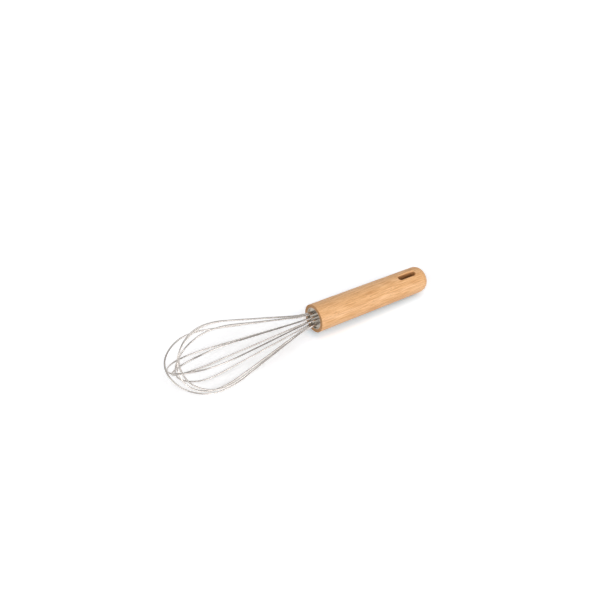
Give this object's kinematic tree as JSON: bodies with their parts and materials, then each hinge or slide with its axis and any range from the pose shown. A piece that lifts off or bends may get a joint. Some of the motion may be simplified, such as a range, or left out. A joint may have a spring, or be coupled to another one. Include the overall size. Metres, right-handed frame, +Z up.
{
  "type": "balloon whisk",
  "caption": "Hand whisk with a round wooden handle, a hanging slot in its butt, and closed steel wire loops that flare into a teardrop balloon for beating and blending.",
  "frame": {"origin": "under the middle of the whisk's box, on the flat surface that it lies on", "axes": "+X runs along the whisk from butt to balloon, level; +Z is up, square to the surface; the whisk's own axis rises 3.14 degrees towards +X because the butt and the lowest wires rest on the surface; the hanging slot opens upwards"},
  "size_m": [0.25, 0.0542, 0.0504],
  "materials": {
    "handle_wood": "turned, close-grained hardwood with a thin oil finish",
    "cup_steel": "drawn stainless sheet, polished, dulled by handling",
    "plug_resin": "cast grey resin",
    "wire_steel": "polished stainless spring wire"
  },
  "bodies": {
    "root": {"wood_handle": "handle_wood", "end_cup": "cup_steel", "resin_plug": "plug_resin", "wire_loop_1": "wire_steel", "wire_loop_2": "wire_steel", "wire_loop_3": "wire_steel", "wire_loop_4": "wire_steel", "wire_loop_5": "wire_steel", "wire_loop_6": "wire_steel"}
  },
  "joints": []
}
